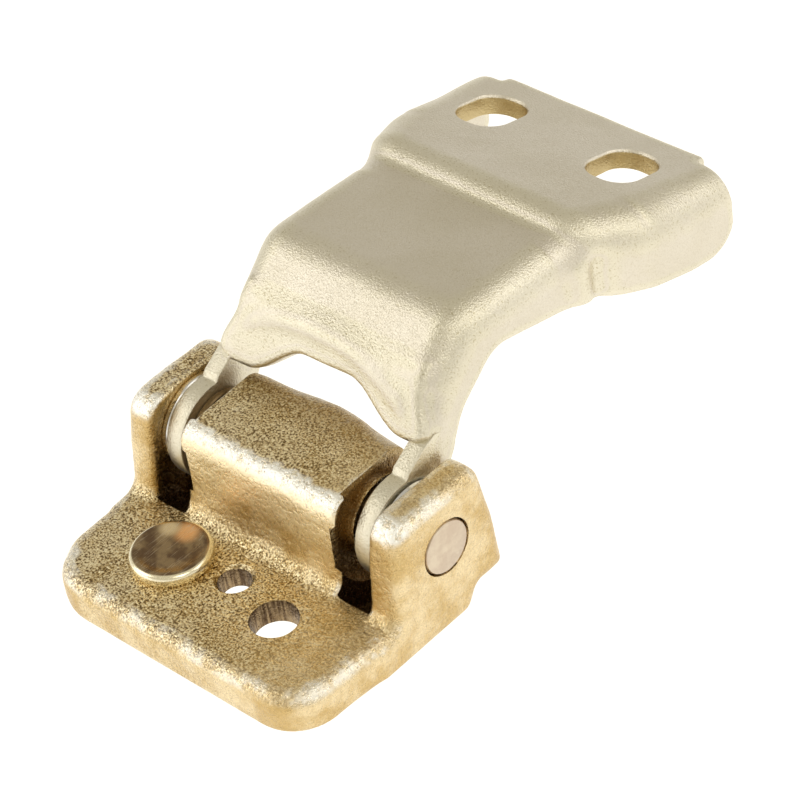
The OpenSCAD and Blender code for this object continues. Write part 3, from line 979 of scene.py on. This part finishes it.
finish_piece(make_bracket(STEP), "bracket", forging, ["body_bracket"])
finish_piece(make_arm(STEP), "arm", pressing, ["hinge_arm"])
finish_piece(make_stud(), "bracket", stud_material(), ["locating_stud"])
finish_piece(make_pin(), "bracket", pin_material(), ["hinge_pin"])
for side, word in ((-1, "left"), (1, "right")):
    finish_piece(make_bush(side, word), "arm", bronze, [word + "_bush"])
    finish_piece(make_washer(side, word), "bracket", bright, [word + "_washer"])


# ---- Stage, light and camera ----

FLOOR_Z = -0.16
AIM = Vector((0.0166, 0.0089, 0.0344))
CAMERA_DISTANCE = 0.56
CAMERA_BEARING = -41.2
CAMERA_HEIGHT = 40.2
CAMERA_ROLL = 9.94

# Soft boxes round the hinge: name, place, width, height and brightness
SOFT_BOXES = [
    ("front_left_box", (-0.52, -0.50, 0.54), 0.60, 0.52, 1.4),
    ("front_low_box", (-0.52, -0.70, 0.12), 0.80, 0.22, 1.1),
    ("front_right_box", (0.52, -0.25, 0.64), 0.40, 0.36, 1.8),
    ("back_right_box", (0.56, 0.46, 0.52), 0.60, 0.60, 1.25),
]


def make_floor():
    """A white floor, well below the hinge so that light comes through its holes."""
    bm = bmesh.new()
    bmesh.ops.create_grid(bm, x_segments=1, y_segments=1, size=6)
    floor = mesh_object("floor", bm)
    floor.location.z = FLOOR_Z
    paint = bpy.data.materials.new("white_floor")
    paint.use_nodes = True
    shader = paint.node_tree.nodes["Principled BSDF"]
    shader.inputs["Base Color"].default_value = (0.92, 0.92, 0.92, 1)
    shader.inputs["Roughness"].default_value = 0.9
    shader.inputs["Emission Color"].default_value = (1, 1, 1, 1)
    shader.inputs["Emission Strength"].default_value = 0.45
    floor.data.materials.append(paint)


def add_light(name, place, width, height, brightness):
    """A rectangular soft box that faces the hinge. Its brightness is that of its own face."""
    lamp = bpy.data.lights.new(name, "AREA")
    lamp.shape = "RECTANGLE"
    lamp.size = width
    lamp.size_y = height
    lamp.energy = brightness * width * height * math.pi
    box = bpy.data.objects.new(name, lamp)
    box.location = place
    box.rotation_euler = (AIM - Vector(place)).to_track_quat("-Z", "Y").to_euler()
    bpy.context.scene.collection.objects.link(box)


def set_world():
    """A pale studio: bright low down and at the sides, dimmer overhead."""
    world = bpy.data.worlds.new("studio")
    world.use_nodes = True
    tree = world.node_tree
    back = tree.nodes["Background"]
    place = tree.nodes.new("ShaderNodeTexCoord")
    split = tree.nodes.new("ShaderNodeSeparateXYZ")
    ramp = tree.nodes.new("ShaderNodeValToRGB")
    tree.links.new(place.outputs["Generated"], split.inputs["Vector"])
    tree.links.new(split.outputs["Z"], ramp.inputs["Fac"])
    tree.links.new(ramp.outputs["Color"], back.inputs["Color"])
    ramp.color_ramp.elements[0].position = 0.02
    ramp.color_ramp.elements[0].color = (1.0, 1.0, 1.0, 1)
    ramp.color_ramp.elements[1].position = 0.32
    ramp.color_ramp.elements[1].color = (0.60, 0.57, 0.49, 1)
    back.inputs["Strength"].default_value = 1.0
    bpy.context.scene.world = world


def make_camera():
    """A camera that looks at the aim from its bearing and height, rolled a little."""
    bearing, height, roll = (math.radians(a) for a in (CAMERA_BEARING, CAMERA_HEIGHT, CAMERA_ROLL))
    back = Vector((math.cos(height) * math.cos(bearing), math.cos(height) * math.sin(bearing),
                   math.sin(height)))
    right = Vector((-math.sin(bearing), math.cos(bearing), 0))
    up = back.cross(right)
    tilted_right = right * math.cos(roll) - up * math.sin(roll)
    tilted_up = back.cross(tilted_right)
    lens = bpy.data.cameras.new("camera")
    lens.lens = 155
    lens.sensor_width = 36
    camera = bpy.data.objects.new("camera", lens)
    turn = Matrix((tilted_right, tilted_up, back)).transposed()
    camera.matrix_world = Matrix.Translation(AIM + back * CAMERA_DISTANCE) @ turn.to_4x4()
    bpy.context.scene.collection.objects.link(camera)
    bpy.context.scene.camera = camera


make_floor()
set_world()
for soft_box in SOFT_BOXES:
    add_light(*soft_box)
make_camera()
bpy.context.scene.view_settings.view_transform = "Standard"
